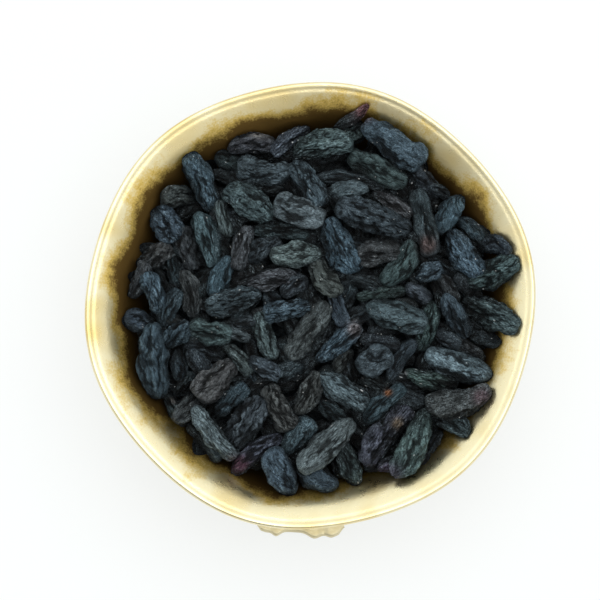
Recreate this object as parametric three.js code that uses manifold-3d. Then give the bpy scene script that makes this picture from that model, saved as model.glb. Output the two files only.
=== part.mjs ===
// A bowl of long black raisins: a thin brass bowl, pressed to six soft sides, on three cast leaf
// feet, and the heap of raisins that fills it. Millimetres, +Z up, the front towards -Y.
import * as THREE from 'three';
import { mergeVertices } from 'three/addons/utils/BufferGeometryUtils.js';
import Module from 'manifold-3d';

const wasm = await Module();
wasm.setup();
const { clamp, degToRad, euclideanModulo, lerp, smoothstep } = THREE.MathUtils;

// Bowl
const RIM_RADIUS = 70;
const RIM_HEIGHT = 50;
const WALL = 1.6;
const LIP_RADIUS = 1.25;
const LIP_TURN = [155, -50].map(degToRad);
// Inner wall from the middle of the bottom to the lip: radius, depth under the rim.
const INNER_WALL = [
  [0, 39.4], [12, 39.2], [24, 38.1], [35, 35], [44, 29.7], [50.5, 23.2], [54.5, 17], [57.6, 11.7],
  [60.2, 7.8], [63.2, 4.3], [67.4, 1],
];
const SIDES = 6;
const FIRST_CREASE = degToRad(13.7);
const RIM_WAVE = 0.009;
const BELLY_WAVE = 0.024;
const FLAT_BOTTOM = 14;
const BELLY_RADIUS = 46;
const COLUMNS = 60;
const WALL_STEPS = 10;
const LIP_STEPS = 5;
// Corners closer together than this are one corner.
const WELD = 1e-4;

// Feet: the middle line of a leaf from its upper end to its toe: distance from the axis, height.
const FOOT_LINE = [
  [57, 41.5], [58.2, 36], [59, 29], [59.8, 21.5], [61.6, 13], [64.8, 5.4], [69.4, 1], [76, 0.9],
];
const FOOT_WIDTHS = [3, 10, 15, 15, 13, 16, 25, 30];
const FOOT_THICKNESS = 2.6;
const FOOT_DIRECTIONS = { foot_front: -92.6, foot_back_right: 27.4, foot_back_left: 147.4 };
// The toe ends in two lobes on each side of a notch, places and spreads measured across the foot.
const TOE_REACH = 73;
const LOBES = [
  { place: -11.2, height: 0.4, spread: 1.2 }, { place: -7.9, height: 1.6, spread: 1.8 },
  { place: 5, height: 1.8, spread: 2.7 }, { place: 10.6, height: 1.2, spread: 2 },
];
const TOE_CORNER = { from: 12.8, to: 15.2, cut: 2.4 };
const FLUTE_DEPTH = 0.9;
const FLUTES = [
  { place: -10.4, height: 0.8, spread: 1.3 }, { place: -1.6, height: 1, spread: 3 },
  { place: 8.2, height: 0.9, spread: 1.6 },
];
// How far the edges of the leaf curl back towards the bowl.
const LEAF_CURL = 1.8;
const FOOT_ACROSS = 14;
const FOOT_ALONG = 10;

// Heap
const GAP = 0.3;
const HEAP_LEVEL = -6.5;
const HEAP_CROWN = 4;
const HEAP_RADIUS = 62;
const HEAP_LEAN = 0.045;
const CORE_DEPTH = 6.5;
const CORE_RINGS = [90, 58, 44, 24, 0];
const CORE_COLUMNS = 14;
const PLUG_COLUMNS = 20;
const PLUG_STEPS = 8;
const CLEAR_OF_HEAP = 12;
const HEAP_SHIFT = 0.6;
const FLATNESS = 0.78;
const SETTLED = 0.84;
const PRESS = 0.4;
const HELD = 0.97;
const SLIDE_STEP = 0.5;
const SLIDE_STEPS = 8;
const STEEPEST = degToRad(38);
// Where the slope under a raisin is taken, in parts of its length and width.
const PITCH_REACH = 0.32;
const ROLL_REACH = 0.5;
// The height at a place is the mean of the cells up to this many from it.
const MEAN_REACH = 2;
const RIDGE_DEPTH = 0.1;
const BLUNT_ENDS = 0.6;
const TIP = 0.01;
const THICKNESS_RANGE = [0.92, 1.12];
const TAPER_RANGE = [-0.16, 0.16];

// Raisins that show, lowest layer first: x, y, heading, and the length and width that show.
const LOW_RAISINS = [
  [-27, 40.5, -25, 9, 4.5], [-25.5, 46, -25, 10, 6], [35.5, 40, -48, 15, 6.5], [41, 35.5, -20, 6, 4],
  [13, 39, -10, 20, 5], [43.5, 10.5, -38, 14, 5], [48.5, 5, -50, 8, 5], [-43, 11, -75, 11, 5.2],
  [-47.5, 7.5, -60, 8, 5], [-33.4, 6.7, 67, 9, 4.5], [-46.8, -11, -75, 10, 5], [-14.5, 17, 30, 11, 7],
  [-5, 5.2, 30, 9, 6], [-21, -6, 0, 8, 5], [17, 6.3, -23, 11, 5.5], [-33.5, -15, -21, 11.7, 5.5],
  [15, -4.7, 30, 11.5, 6], [41, 0, -80, 9, 3.5], [43.5, 4, -65, 10, 5.3], [55.3, -10.8, -27, 10.5, 6],
  [48.3, -13.8, -37, 14, 5.5], [43, -12, -35, 8, 5], [-41.4, -19.5, -83, 9.3, 5.5],
  [-34.5, -19.5, -55, 11, 6], [-40, -25.5, 50, 9, 4], [-8.5, -15.5, -65, 8, 4.5], [-7, -21.5, 20, 10, 6],
  [10, -19, 70, 9, 5], [22, -12.5, -15, 12, 5.5], [20, -25.5, -30, 8, 5], [-34.5, -45.8, -50, 14, 6],
  [7.5, -34.5, -35, 10, 5.5], [21.5, -50.5, 10, 9, 5], [28, -50, 15, 13.5, 5.5],
  [37.5, -45.5, 60, 11, 5], [31, -30, -20, 11, 6],
];
const MIDDLE_RAISINS = [
  [-43.5, 35.5, 10, 10, 8], [-18.5, 53, 5, 16, 7], [-6.5, 53, 38, 14, 5.5], [12.5, 54, 35, 12, 7],
  [13.5, 59.5, 30, 12, 4], [51.5, 22, -45, 13, 7], [60, 18, -28, 9, 7], [-31.5, 26.5, 60, 8, 4],
  [-9, 22.5, -5, 17, 6], [12.5, 35.5, 5, 11.5, 6.5], [26, 31.5, -33, 14, 6], [-49.7, 15, 35, 12.3, 7.5],
  [-54, 7.3, 67, 11.5, 5.7], [-39, 17.5, -78, 13.5, 6.2], [-38, 3.2, -80, 14.5, 6.8],
  [-54.8, -5.8, -20, 9.5, 7.2], [-42, -9.7, 47, 10.2, 7.5], [-21.5, 17.5, 78, 14, 7.2],
  [-12.2, 7.2, 8, 15, 7], [21.2, 15.6, 9, 15, 8], [37.3, 9.3, 22, 8.8, 7], [-22.9, -9.8, -25, 8.5, 4.5],
  [-22.8, -17.5, -45, 12.5, 5.5], [9, -0.8, -78, 13.5, 6], [22.3, 2.6, 8, 15, 5.5],
  [33.8, 2.7, -33, 9, 5.5], [37, -7.5, 78, 15.5, 7], [-14.5, -20.5, -30, 11, 6], [8.8, -12.7, 39, 17, 6.5],
  [28.5, -18, 56, 15, 5.5], [38, -24, -12, 16.5, 7], [-44, -35, -55, 11, 6.5], [-37.5, -32.5, 45, 13, 7.5],
  [-25, -30.5, 43, 13, 6.3], [-17, -47.3, 38, 19, 7.5], [-3.5, -42, 50, 13, 8], [-0.5, -28.5, 65, 14, 7.5],
  [2.5, -55.5, -35, 13.5, 9], [12.5, -51.5, -70, 13.5, 7], [22.8, -32, 42, 16, 7],
  [45, -38.8, -30, 12, 6], [46.3, -31, 14, 19.5, 10],
];
const TOP_RAISINS = [
  [-46.5, 26, -60, 12.5, 9.5], [-35.5, 40, -65, 19, 9], [-14.5, 42, -5, 18, 9.5], [4, 50.5, 5, 19, 9.5],
  [27.5, 52.5, -36, 23, 11], [21.5, 42.5, -28, 20.5, 10.5], [44.5, 28.5, 58, 14.5, 8],
  [-27.5, 27, -75, 12.5, 5.5], [-33, 20.5, -73, 18.5, 8.3], [-19.5, 32, -30, 18, 11],
  [-1, 38, -58, 17.5, 9], [-3.5, 28.8, -20, 17, 10], [20, 27, -22, 25, 10.5], [36.3, 25.5, -78, 22, 8],
  [57, 8.8, 22, 17.5, 9.7], [48.3, 15, -58, 17.5, 9.7], [-44.4, -1.3, 65, 13, 6.8],
  [-49.5, 3.3, -73, 13.5, 7.3], [-27.9, 8.3, 68, 14.3, 7.2], [-49.6, -18.5, -85, 24, 10.5],
  [-4.5, 15.1, 0, 16.5, 8.5], [-24.3, 0.8, 18, 18, 8.5], [4.8, 7.3, -57, 13, 8.8],
  [9.3, 17.8, -64, 19.5, 10], [28.5, 12, 55, 17, 8.5], [-31.5, -9.2, -13, 14, 8.7],
  [-14, -10.3, -74, 16, 6.8], [-7.2, -2.4, 12, 15, 7.7], [-0.5, -9, 55, 21.7, 8.3],
  [45.8, -4.2, -62, 15.3, 8.7], [27, -4.2, -18, 20, 9.7], [57.4, -4, -29, 18.5, 9.5],
  [20, -18.5, 20, 12, 9.5], [46.3, -19.8, -22, 22, 9], [-29.7, -24.5, 42, 16, 10],
  [-19.8, -37.5, 55, 18, 10.5], [-30.2, -41, -50, 21, 7.2], [-9.3, -53.5, -62, 16, 9.5],
  [-9.8, -33, -62, 16, 9], [10.5, -27.5, -33, 18, 9], [5.2, -45, 43, 23, 9], [23.5, -41.5, 50, 23, 9.5],
  [32.3, -44, 62, 24, 9.5],
];

function toSolid(geometry) {
  geometry.deleteAttribute('normal');
  geometry.deleteAttribute('uv');
  const merged = mergeVertices(geometry, WELD);
  const vertProperties = new Float32Array(merged.attributes.position.array);
  const corners = [];
  for (let i = 0; i < merged.index.count; i += 3) {
    const [a, b, c] = [0, 1, 2].map((k) => merged.index.getX(i + k));
    if (a !== b && b !== c && c !== a) corners.push(a, b, c);
  }
  if (signedVolume(vertProperties, corners) < 0) corners.reverse();
  const triVerts = new Uint32Array(corners);
  return new wasm.Manifold(new wasm.Mesh({ numProp: 3, vertProperties, triVerts }));
}

function signedVolume(places, corners) {
  const [a, b, c] = [new THREE.Vector3(), new THREE.Vector3(), new THREE.Vector3()];
  let sum = 0;
  for (let i = 0; i < corners.length; i += 3) {
    a.fromArray(places, 3 * corners[i]);
    b.fromArray(places, 3 * corners[i + 1]);
    c.fromArray(places, 3 * corners[i + 2]);
    sum += a.dot(b.cross(c));
  }
  return sum / 6;
}

function toMesh(name, solid, material) {
  const { vertProperties, triVerts } = solid.getMesh();
  const geometry = new THREE.BufferGeometry();
  geometry.setAttribute('position', new THREE.BufferAttribute(new Float32Array(vertProperties), 3));
  geometry.setIndex(new THREE.BufferAttribute(new Uint32Array(triVerts), 1));
  geometry.computeVertexNormals();
  const mesh = new THREE.Mesh(geometry, material);
  mesh.name = name;
  return mesh;
}

function moveVertices(geometry, move) {
  const place = new THREE.Vector3();
  const { position } = geometry.attributes;
  for (let i = 0; i < position.count; i += 1) {
    place.fromBufferAttribute(position, i);
    move(place);
    position.setXYZ(i, place.x, place.y, place.z);
  }
  return geometry;
}

// Bowl

// How much further out than a plain round bowl the wall stands. Deep in the bowl the six panels are
// flat and meet in creases, and towards the rim they run out into a soft wave.
function sideWave(radius, angle) {
  const panel = (2 * Math.PI) / SIDES;
  const fromCrease = angle - FIRST_CREASE;
  const fromMiddle = euclideanModulo(fromCrease, panel) - panel / 2;
  const flat = (2 * (1 / Math.cos(fromMiddle) - 1)) / (1 / Math.cos(panel / 2) - 1) - 1;
  const soft = Math.cos(SIDES * fromCrease);
  const nearRim = smoothstep(radius, BELLY_RADIUS, RIM_RADIUS);
  const height = smoothstep(radius, FLAT_BOTTOM, BELLY_RADIUS) * lerp(BELLY_WAVE, RIM_WAVE, nearRim);
  return 1 + height * lerp(flat, soft, nearRim);
}

// The inner wall moved out along its own normal, as points of radius and height above the table.
function wallPoints(offset, steps) {
  const places = INNER_WALL.map(([radius, depth]) => new THREE.Vector2(radius, RIM_HEIGHT - depth));
  const curve = new THREE.SplineCurve(places);
  const points = [];
  for (let i = 0; i <= steps; i += 1) {
    const along = curve.getTangentAt(i / steps);
    const point = curve.getPointAt(i / steps);
    const outward = i === 0 ? new THREE.Vector2(0, -1) : new THREE.Vector2(along.y, -along.x);
    points.push(point.addScaledVector(outward, offset));
  }
  return points;
}

function revolve(points, columns) {
  const geometry = new THREE.LatheGeometry(points, columns);
  geometry.rotateX(Math.PI / 2);
  geometry.rotateZ(FIRST_CREASE);
  return moveVertices(geometry, (place) => {
    const radius = Math.hypot(place.x, place.y);
    const wave = sideWave(radius, Math.atan2(place.y, place.x));
    place.x *= wave;
    place.y *= wave;
  });
}

function bowlSolid() {
  const inside = wallPoints(0, WALL_STEPS);
  const outside = wallPoints(WALL, WALL_STEPS).reverse();
  const lip = [];
  const centre = new THREE.Vector2(RIM_RADIUS - LIP_RADIUS, RIM_HEIGHT - LIP_RADIUS);
  for (let i = 0; i <= LIP_STEPS; i += 1) {
    const turn = lerp(...LIP_TURN, i / LIP_STEPS);
    lip.push(new THREE.Vector2(Math.cos(turn), Math.sin(turn)).multiplyScalar(LIP_RADIUS).add(centre));
  }
  return toSolid(revolve([...inside.slice(0, -1), ...lip, ...outside.slice(1)], COLUMNS));
}

// A plug of the wall's shape, open above the rim, at an offset outward from the inner wall.
function bowlPlug(offset, steps, columns, top) {
  const wall = wallPoints(offset, steps);
  const last = wall[wall.length - 1];
  const out = new THREE.Vector2(last.x + (top - last.y), top);
  return toSolid(revolve([...wall, out, new THREE.Vector2(0, top)], columns));
}

// Feet

// The height at one place across the foot of a row of bumps, each with its own place and spread.
function bumps(rows, across) {
  return rows.reduce((sum, { place, height, spread }) => (
    sum + height * Math.exp(-(((across - place) / spread) ** 2))
  ), 0);
}

function toeEnd(across) {
  const corner = TOE_CORNER.cut * smoothstep(Math.abs(across), TOE_CORNER.from, TOE_CORNER.to);
  return TOE_REACH + bumps(LOBES, across) - corner;
}

function widthAt(along) {
  const place = along * (FOOT_WIDTHS.length - 1);
  const i = Math.min(Math.floor(place), FOOT_WIDTHS.length - 2);
  return lerp(FOOT_WIDTHS[i], FOOT_WIDTHS[i + 1], smoothstep(place - i, 0, 1));
}

// One leaf foot, bent from a flat slab: lobed at the toe, flat where it stands, and fluted on its
// face, with the flutes running up from the notches of the toe.
function footSolid(direction, seat) {
  const line = new THREE.SplineCurve(FOOT_LINE.map(([r, z]) => new THREE.Vector2(r, z)));
  const slab = new THREE.BoxGeometry(1, 1, 1, FOOT_ACROSS, FOOT_ALONG, 1);
  moveVertices(slab, (place) => {
    const along = place.y + 0.5;
    const atToe = place.x * FOOT_WIDTHS.at(-1);
    const point = line.getPoint(along);
    const tangent = line.getTangent(along);
    const toe = smoothstep(along, 0.7, 1);
    const lobes = toe * (toeEnd(atToe) - FOOT_LINE.at(-1)[0]);
    const curl = LEAF_CURL * (1 - toe) * (2 * place.x) ** 2;
    const depth = FLUTE_DEPTH * bumps(FLUTES, atToe) * smoothstep(along, 0.1, 0.6);
    const lift = place.z > 0 ? FOOT_THICKNESS / 2 - depth : -FOOT_THICKNESS / 2;
    const out = point.x + lobes - curl - tangent.y * lift;
    place.set(out, place.x * widthAt(along), Math.max(point.y + tangent.x * lift, 0));
  });
  slab.rotateZ(degToRad(direction));
  return toSolid(slab).subtract(seat);
}

// Heap

let seed = 20417;
function random(low, high) {
  seed = (seed * 1664525 + 1013904223) % 2 ** 32;
  return lerp(low, high, seed / 2 ** 32);
}

function heapSurface(x, y) {
  const crown = HEAP_CROWN * (1 - (x * x + y * y) / (HEAP_RADIUS * HEAP_RADIUS));
  return RIM_HEIGHT + HEAP_LEVEL + crown + HEAP_LEAN * x;
}

function innerWallHeight(x, y) {
  const seen = Math.hypot(x, y);
  const radius = seen / sideWave(seen, Math.atan2(y, x));
  let i = 0;
  while (i < INNER_WALL.length - 2 && radius > INNER_WALL[i + 1][0]) i += 1;
  const [[r0, d0], [r1, d1]] = [INNER_WALL[i], INNER_WALL[i + 1]];
  return RIM_HEIGHT - lerp(d0, d1, (radius - r0) / (r1 - r0));
}

// Heights of the wall and of what lies in the bowl so far, on a square of 1 mm cells.
const REACH = Math.ceil(RIM_RADIUS);
const WIDE = 2 * REACH + 1;
const wallMap = new Float64Array(WIDE * WIDE);
const pileMap = new Float64Array(WIDE * WIDE);
for (let y = -REACH; y <= REACH; y += 1) {
  for (let x = -REACH; x <= REACH; x += 1) {
    const cell = (y + REACH) * WIDE + x + REACH;
    wallMap[cell] = innerWallHeight(x, y);
    pileMap[cell] = Math.max(wallMap[cell], heapSurface(x, y) - CORE_DEPTH);
  }
}

function meanHeight(x, y) {
  let sum = 0;
  for (let j = -MEAN_REACH; j <= MEAN_REACH; j += 1) {
    for (let i = -MEAN_REACH; i <= MEAN_REACH; i += 1) {
      const column = clamp(Math.round(x) + i, -REACH, REACH) + REACH;
      const row = clamp(Math.round(y) + j, -REACH, REACH) + REACH;
      sum += pileMap[row * WIDE + column];
    }
  }
  return sum / (2 * MEAN_REACH + 1) ** 2;
}

function slopeAlong(x, y, angle, half) {
  const [dx, dy] = [Math.cos(angle) * half, Math.sin(angle) * half];
  const rise = meanHeight(x + dx, y + dy) - meanHeight(x - dx, y - dy);
  return clamp(Math.atan(rise / (2 * half)), -STEEPEST, STEEPEST);
}

// Calls visit(cell, bottom, top) for each cell under an ellipsoid, heights from its centre.
function overFootprint(x, y, axes, halves, visit) {
  const q = (m, n) => axes.reduce((sum, axis, k) => sum + (axis[m] * axis[n]) / halves[k] ** 2, 0);
  const [xx, xy, yy, xz, yz, zz] = [q(0, 0), q(0, 1), q(1, 1), q(0, 2), q(1, 2), q(2, 2)];
  const span = Math.ceil(Math.max(...halves));
  for (let row = Math.round(y) - span; row <= Math.round(y) + span; row += 1) {
    for (let column = Math.round(x) - span; column <= Math.round(x) + span; column += 1) {
      if (Math.abs(row) > REACH || Math.abs(column) > REACH) continue;
      const [dx, dy] = [column - x, row - y];
      const b = xz * dx + yz * dy;
      const c = xx * dx * dx + 2 * xy * dx * dy + yy * dy * dy - 1;
      const root = b * b - zz * c;
      if (root < 0) continue;
      const cell = (row + REACH) * WIDE + column + REACH;
      visit(cell, (-b - Math.sqrt(root)) / zz, (-b + Math.sqrt(root)) / zz);
    }
  }
}

// Lays one raisin on what is already in the bowl: it leans as the heap does under it, presses a
// little into its neighbours, and slides down the polished wall until they hold it.
function layRaisin([xSeen, ySeen, headingDegrees, lengthSeen, widthSeen], hidden) {
  const [length, width] = [lengthSeen * hidden, widthSeen * hidden];
  let [x, y] = [xSeen, ySeen + HEAP_SHIFT];
  const heading = degToRad(headingDegrees);
  const pitch = slopeAlong(x, y, heading, PITCH_REACH * length);
  const roll = slopeAlong(x, y, heading + Math.PI / 2, ROLL_REACH * width);
  const thickness = FLATNESS * width * random(...THICKNESS_RANGE);
  const halves = [length / 2 / Math.cos(pitch), width / 2, thickness / 2];
  const long = new THREE.Vector3(Math.cos(heading), Math.sin(heading), Math.tan(pitch)).normalize();
  const level = new THREE.Vector3(-Math.sin(heading), Math.cos(heading), 0);
  const upright = new THREE.Vector3().crossVectors(long, level);
  const wide = level.clone().multiplyScalar(Math.cos(roll)).addScaledVector(upright, Math.sin(roll));
  const thick = new THREE.Vector3().crossVectors(long, wide);
  const axes = [long, wide, thick].map((axis) => axis.toArray());
  const inward = SLIDE_STEP / Math.hypot(x, y);
  let z = 0;
  for (let step = 0; step <= SLIDE_STEPS; step += 1) {
    const rests = [];
    let clear = 0;
    overFootprint(x, y, axes, halves, (cell, bottom) => {
      rests.push(pileMap[cell] - bottom);
      clear = Math.max(clear, wallMap[cell] + GAP - bottom);
    });
    rests.sort((a, b) => a - b);
    z = Math.max(clear, rests[Math.floor(rests.length * SETTLED)]) - PRESS * halves[2];
    if (rests[Math.floor(rests.length * HELD)] >= clear || step === SLIDE_STEPS) break;
    x -= inward * x;
    y -= inward * y;
  }
  overFootprint(x, y, axes, halves, (cell, bottom, top) => {
    pileMap[cell] = Math.max(pileMap[cell], z + top);
  });
  const centre = new THREE.Vector3(x, y, z);
  return { centre, long, wide, thick, halves, taper: random(...TAPER_RANGE) };
}

function raisinSolid({ centre, long, wide, thick, halves, taper }, sides, rings) {
  const geometry = new THREE.SphereGeometry(1, sides, rings);
  geometry.rotateZ(Math.PI / 2);
  moveVertices(geometry, (place) => {
    const around = Math.atan2(place.z, place.y);
    const ridge = 1 + RIDGE_DEPTH * Math.cos((around * sides) / 2);
    const bluntness = Math.max(Math.hypot(place.y, place.z), TIP) ** (BLUNT_ENDS - 1);
    const girth = ridge * bluntness * (1 + taper * place.x);
    place.set(place.x * halves[0], place.y * halves[1] * girth, place.z * halves[2] * girth);
  });
  geometry.applyMatrix4(new THREE.Matrix4().makeBasis(long, wide, thick).setPosition(centre));
  return toSolid(geometry);
}

// The bulk of the heap under the raisins that show.
function coreSolid() {
  const top = CORE_RINGS.map((radius) => new THREE.Vector2(radius, RIM_HEIGHT));
  const bottom = [new THREE.Vector2(0, 0), new THREE.Vector2(CORE_RINGS[0], 0)];
  const core = new THREE.LatheGeometry([...bottom, ...top], CORE_COLUMNS);
  core.rotateX(Math.PI / 2);
  moveVertices(core, (place) => {
    if (place.z > 0) place.z = heapSurface(place.x, place.y) - CORE_DEPTH;
  });
  return toSolid(core);
}

// The part of a lower raisin that its neighbours cover is added as a factor of its size.
function heapSolid() {
  const inside = bowlPlug(-GAP, PLUG_STEPS, PLUG_COLUMNS, RIM_HEIGHT + CLEAR_OF_HEAP);
  const layers = [
    { rows: LOW_RAISINS, hidden: 1.1, sides: 5, rings: 3 },
    { rows: MIDDLE_RAISINS, hidden: 1.05, sides: 6, rings: 4 },
    { rows: TOP_RAISINS, hidden: 1, sides: 7, rings: 5 },
  ];
  let heap = coreSolid();
  for (const { rows, hidden, sides, rings } of layers) {
    for (const row of rows) heap = heap.add(raisinSolid(layRaisin(row, hidden), sides, rings));
  }
  const bodies = heap.intersect(inside).decompose();
  return bodies.reduce((largest, body) => (body.volume() > largest.volume() ? body : largest));
}

// Assembly

const brass = new THREE.MeshStandardMaterial({ color: 0xd2bd7c, metalness: 1, roughness: 0.24 });
const castBrass = new THREE.MeshStandardMaterial({ color: 0xc9b473, metalness: 1, roughness: 0.34 });
const raisinSkin = new THREE.MeshStandardMaterial({ color: 0x23292f, metalness: 0, roughness: 0.6 });

const bowlOfRaisins = new THREE.Group();
bowlOfRaisins.add(toMesh('bowl', bowlSolid(), brass));
const seat = bowlPlug(WALL + GAP, WALL_STEPS, COLUMNS, RIM_HEIGHT + CLEAR_OF_HEAP);
for (const [name, direction] of Object.entries(FOOT_DIRECTIONS)) {
  bowlOfRaisins.add(toMesh(name, footSolid(direction, seat), castBrass));
}
bowlOfRaisins.add(toMesh('raisins', heapSolid(), raisinSkin));

// The origin is on the table, under the middle of the whole.
const box = new THREE.Box3().setFromObject(bowlOfRaisins);
const middle = box.getCenter(new THREE.Vector3());
bowlOfRaisins.position.set(-middle.x, -middle.y, -box.min.z);

export default bowlOfRaisins;
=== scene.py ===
# A brass bowl of long black raisins: its fine surfaces, materials, light and camera.
import math
import random

import bmesh
import bpy
import numpy as np
from mathutils import Matrix, Vector, noise


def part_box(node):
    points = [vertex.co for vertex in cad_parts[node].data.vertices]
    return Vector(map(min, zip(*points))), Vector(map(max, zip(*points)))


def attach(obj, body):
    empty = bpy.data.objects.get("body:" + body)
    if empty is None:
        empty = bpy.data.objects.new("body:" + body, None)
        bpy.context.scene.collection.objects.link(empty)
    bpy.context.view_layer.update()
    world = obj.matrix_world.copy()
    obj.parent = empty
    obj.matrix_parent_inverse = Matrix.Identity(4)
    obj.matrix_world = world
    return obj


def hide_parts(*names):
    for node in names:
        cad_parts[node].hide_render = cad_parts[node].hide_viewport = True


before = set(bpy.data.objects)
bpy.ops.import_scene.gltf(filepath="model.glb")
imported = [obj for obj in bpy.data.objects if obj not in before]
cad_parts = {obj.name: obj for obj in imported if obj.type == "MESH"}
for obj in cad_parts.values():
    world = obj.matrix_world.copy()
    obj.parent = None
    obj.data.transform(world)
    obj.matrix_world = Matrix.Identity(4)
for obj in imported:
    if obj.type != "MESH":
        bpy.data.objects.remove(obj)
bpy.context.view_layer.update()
MM = 0.001

# Sizes of the part in millimetres, with the bowl's axis as the origin.
low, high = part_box("bowl")
AXIS = Vector(((low.x + high.x) / 2 / MM, (low.y + high.y) / 2 / MM, 0))
HEAP_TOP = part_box("raisins")[1].z / MM
RIM_RADIUS = 70
RIM_HEIGHT = 50
WALL = 1.6
# The inner wall from the middle to the rim: radius, depth under the rim.
INNER_WALL = [
    (0, 39.4), (12, 39.2), (24, 38.1), (35, 35), (44, 29.7), (50.5, 23.2), (54.5, 17), (57.6, 11.7),
    (60.2, 7.8), (63.2, 4.3), (67.4, 1),
]
# The soft sides: their number, the first crease, how far they wave at the rim and at the belly as shares of the
# radius, and the radii where the waves begin and where the belly is.
SIDES = 6
FIRST_CREASE = math.radians(13.7)
RIM_WAVE = 0.009
BELLY_WAVE = 0.024
FLAT_BOTTOM = 14
BELLY_RADIUS = 46
# The gap between pieces that touch.
GAP = 0.3

# The heap: height of its edge over the rim, rise of its crown, radius, slope up to the right, depth of the raisins
# that show, and how far they are shifted to the back.
HEAP_LEVEL = -6.5
HEAP_CROWN = 4
HEAP_RADIUS = 62
HEAP_LEAN = 0.045
CORE_DEPTH = 6.5
HEAP_SHIFT = 0.6
# How a raisin is laid: its flatness, the share of the cells under it that are lower than where it settles, how far
# it presses in as a share of its half thickness, the share that tells whether the heap holds it rather than the
# wall, and its slides off the wall.
FLATNESS = 0.78
SETTLED = 0.84
PRESS = 0.4
HELD = 0.97
SLIDE_STEP = 0.5
SLIDE_STEPS = 8
# How it follows the slope under it: steepest tilt, reach of a mean height, and how far along and across it looks,
# as shares of its length and width.
STEEPEST = math.radians(38)
MEAN_REACH = 2
PITCH_REACH = 0.32
ROLL_REACH = 0.5
THICKNESS_RANGE = (0.92, 1.12)
TAPER_RANGE = (-0.16, 0.16)

# The raisins that show, lowest layer first: x, y, heading, length, width, tone.
LOW_RAISINS = [
    (-27, 40.5, -25, 9, 4.5, "dark"), (-25.5, 46, -25, 10, 6, "green"), (35.5, 40, -48, 15, 6.5, "grey"),
    (41, 35.5, -20, 6, 4, "dark"), (13, 39, -10, 20, 5, "grey"), (43.5, 10.5, -38, 14, 5, "blue"),
    (48.5, 5, -50, 8, 5, "dark"), (-43, 11, -75, 11, 5.2, "blue"), (-47.5, 7.5, -60, 8, 5, "dark"),
    (-33.4, 6.7, 67, 9, 4.5, "dark"), (-46.8, -11, -75, 10, 5, "dark"), (-14.5, 17, 30, 11, 7, "dark"),
    (-5, 5.2, 30, 9, 6, "grey"), (-21, -6, 0, 8, 5, "dark"), (17, 6.3, -23, 11, 5.5, "dark"),
    (-33.5, -15, -21, 11.7, 5.5, "dark"), (15, -4.7, 30, 11.5, 6, "dark"), (41, 0, -80, 9, 3.5, "dark"),
    (43.5, 4, -65, 10, 5.3, "brown"), (55.3, -10.8, -27, 10.5, 6, "dark"),
    (48.3, -13.8, -37, 14, 5.5, "brown"), (43, -12, -35, 8, 5, "dark"),
    (-41.4, -19.5, -83, 9.3, 5.5, "blue"), (-34.5, -19.5, -55, 11, 6, "dark"),
    (-40, -25.5, 50, 9, 4, "dark"), (-8.5, -15.5, -65, 8, 4.5, "dark"), (-7, -21.5, 20, 10, 6, "dark"),
    (10, -19, 70, 9, 5, "brown"), (22, -12.5, -15, 12, 5.5, "dark"), (20, -25.5, -30, 8, 5, "grey"),
    (-34.5, -45.8, -50, 14, 6, "grey"), (7.5, -34.5, -35, 10, 5.5, "blue"), (21.5, -50.5, 10, 9, 5, "dark"),
    (28, -50, 15, 13.5, 5.5, "purple"), (37.5, -45.5, 60, 11, 5, "blue"), (31, -30, -20, 11, 6, "dark"),
]
MIDDLE_RAISINS = [
    (-43.5, 35.5, 10, 10, 8, "brown"), (-18.5, 53, 5, 16, 7, "brown"), (-6.5, 53, 38, 14, 5.5, "purple"),
    (12.5, 54, 35, 12, 7, "green"), (13.5, 59.5, 30, 12, 4, "brown"), (51.5, 22, -45, 13, 7, "blue"),
    (60, 18, -28, 9, 7, "dark"), (-31.5, 26.5, 60, 8, 4, "brown"), (-9, 22.5, -5, 17, 6, "grey"),
    (12.5, 35.5, 5, 11.5, 6.5, "light"), (26, 31.5, -33, 14, 6, "brown"),
    (-49.7, 15, 35, 12.3, 7.5, "brown"), (-54, 7.3, 67, 11.5, 5.7, "brown"),
    (-39, 17.5, -78, 13.5, 6.2, "brown"), (-38, 3.2, -80, 14.5, 6.8, "brown"),
    (-54.8, -5.8, -20, 9.5, 7.2, "blue"), (-42, -9.7, 47, 10.2, 7.5, "blue"),
    (-21.5, 17.5, 78, 14, 7.2, "brown"), (-12.2, 7.2, 8, 15, 7, "brown"), (21.2, 15.6, 9, 15, 8, "brown"),
    (37.3, 9.3, 22, 8.8, 7, "blue"), (-22.9, -9.8, -25, 8.5, 4.5, "light"),
    (-22.8, -17.5, -45, 12.5, 5.5, "light"), (9, -0.8, -78, 13.5, 6, "blue"),
    (22.3, 2.6, 8, 15, 5.5, "green"), (33.8, 2.7, -33, 9, 5.5, "grey"), (37, -7.5, 78, 15.5, 7, "green"),
    (-14.5, -20.5, -30, 11, 6, "grey"), (8.8, -12.7, 39, 17, 6.5, "blue"), (28.5, -18, 56, 15, 5.5, "blue"),
    (38, -24, -12, 16.5, 7, "green"), (-44, -35, -55, 11, 6.5, "grey"),
    (-37.5, -32.5, 45, 13, 7.5, "brown"), (-25, -30.5, 43, 13, 6.3, "blue"),
    (-17, -47.3, 38, 19, 7.5, "purple"), (-3.5, -42, 50, 13, 8, "blue"),
    (-0.5, -28.5, 65, 14, 7.5, "brown"), (2.5, -55.5, -35, 13.5, 9, "blue"),
    (12.5, -51.5, -70, 13.5, 7, "green"), (22.8, -32, 42, 16, 7, "blue"), (45, -38.8, -30, 12, 6, "dark"),
    (46.3, -31, 14, 19.5, 10, "brown"),
]
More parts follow.
